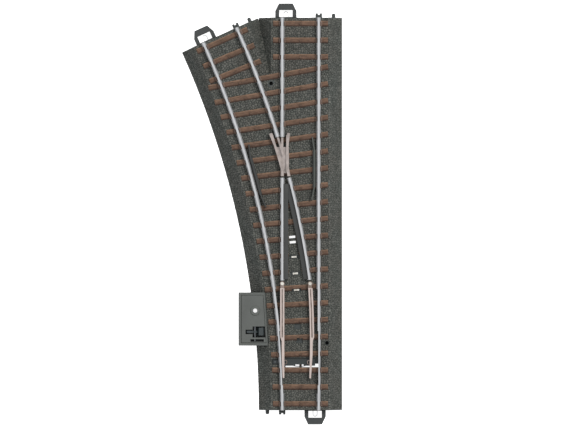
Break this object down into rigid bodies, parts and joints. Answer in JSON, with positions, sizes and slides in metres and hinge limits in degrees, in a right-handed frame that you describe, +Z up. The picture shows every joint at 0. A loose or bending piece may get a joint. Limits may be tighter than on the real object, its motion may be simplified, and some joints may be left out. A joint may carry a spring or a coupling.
{
  "type": "model railway turnout",
  "caption": "Left-hand model railway turnout on moulded ballast roadbed, with moving point blades thrown by a rocking hand lever.",
  "frame": {"origin": "track centre at the toe end, on the base plane", "axes": "+Y along the straight route towards the frog, +X right, +Z up"},
  "size_m": [0.0769, 0.2021, 0.0102],
  "materials": {
    "ballast_plastic": "moulded ballast, weathered dark grey",
    "sleeper_plastic": "moulded wood grain, brown",
    "chair_plastic": "moulded, dark brown",
    "rail_metal": "drawn nickel silver, bright head",
    "frog_metal": "cast and machined, satin",
    "blade_metal": "satin",
    "guide_plastic": "smooth, near black",
    "contact_metal": "stamped sheet, dull",
    "housing_plastic": "smooth, mid grey",
    "joint_plastic": "smooth, dark grey",
    "lever_plastic": "smooth, blue grey",
    "mechanism_plastic": "smooth, black",
    "spring_steel": "bright drawn",
    "screw_steel": "zinc plated"
  },
  "bodies": {
    "track": {"roadbed": "ballast_plastic", "sleepers": "sleeper_plastic", "rail_chairs": "chair_plastic", "stock_rail_straight": "rail_metal", "stock_rail_curved": "rail_metal", "closure_rail_straight": "rail_metal", "closure_rail_curved": "rail_metal", "exit_rail_straight": "rail_metal", "exit_rail_diverging": "rail_metal", "frog_casting": "frog_metal", "check_rail_left": "guide_plastic", "check_rail_right": "guide_plastic", "guide_strip_straight": "guide_plastic", "guide_strip_curved": "guide_plastic", "contact_strip_straight": "contact_metal", "contact_strip_diverging": "contact_metal", "wide_contacts": "contact_metal", "rail_jumpers": "contact_metal", "blade_pivot_pins": "contact_metal", "throw_bar_retainer": "mechanism_plastic", "retainer_screws": "screw_steel", "lever_axle": "spring_steel", "lever_housing": "housing_plastic", "lever_housing_cover": "housing_plastic", "mechanism_cover": "mechanism_plastic", "cover_screws": "screw_steel", "detent_spring": "spring_steel", "latch_loop_toe": "joint_plastic", "latch_loop_straight": "joint_plastic", "latch_loop_diverging": "joint_plastic", "joint_contacts": "contact_metal"},
    "lever": {"hand_lever": "lever_plastic"},
    "drive": {"throw_bar": "mechanism_plastic", "drive_slide": "mechanism_plastic", "link_spring": "spring_steel"},
    "blade_left": {"left_blade": "blade_metal"},
    "blade_right": {"right_blade": "blade_metal"}
  },
  "joints": [
    {"name": "drive_travel", "type": "slide", "parent": "track", "child": "drive", "axis": [1, 0, 0], "range_m": [0, 0.0027]},
    {"name": "lever_rock", "type": "hinge", "parent": "track", "child": "lever", "pos_m": [-0.02185, 0.0376, 0.006], "axis": [0, -1, 0], "range_deg": [0, 40]},
    {"name": "left_blade_swing", "type": "hinge", "parent": "track", "child": "blade_left", "pos_m": [-0.00875, 0.06075, 0.009], "axis": [0, 0, 1], "range_deg": [0, 4.12]},
    {"name": "right_blade_swing", "type": "hinge", "parent": "track", "child": "blade_right", "pos_m": [0.0046, 0.06075, 0.009], "axis": [0, 0, 1], "range_deg": [0, 4.12]}
  ],
  "couplings": [
    {"joint": "lever_rock", "follows": "drive_travel", "rad_per_m": 258.56},
    {"joint": "left_blade_swing", "follows": "drive_travel", "rad_per_m": 26.62},
    {"joint": "right_blade_swing", "follows": "drive_travel", "rad_per_m": 26.62}
  ]
}
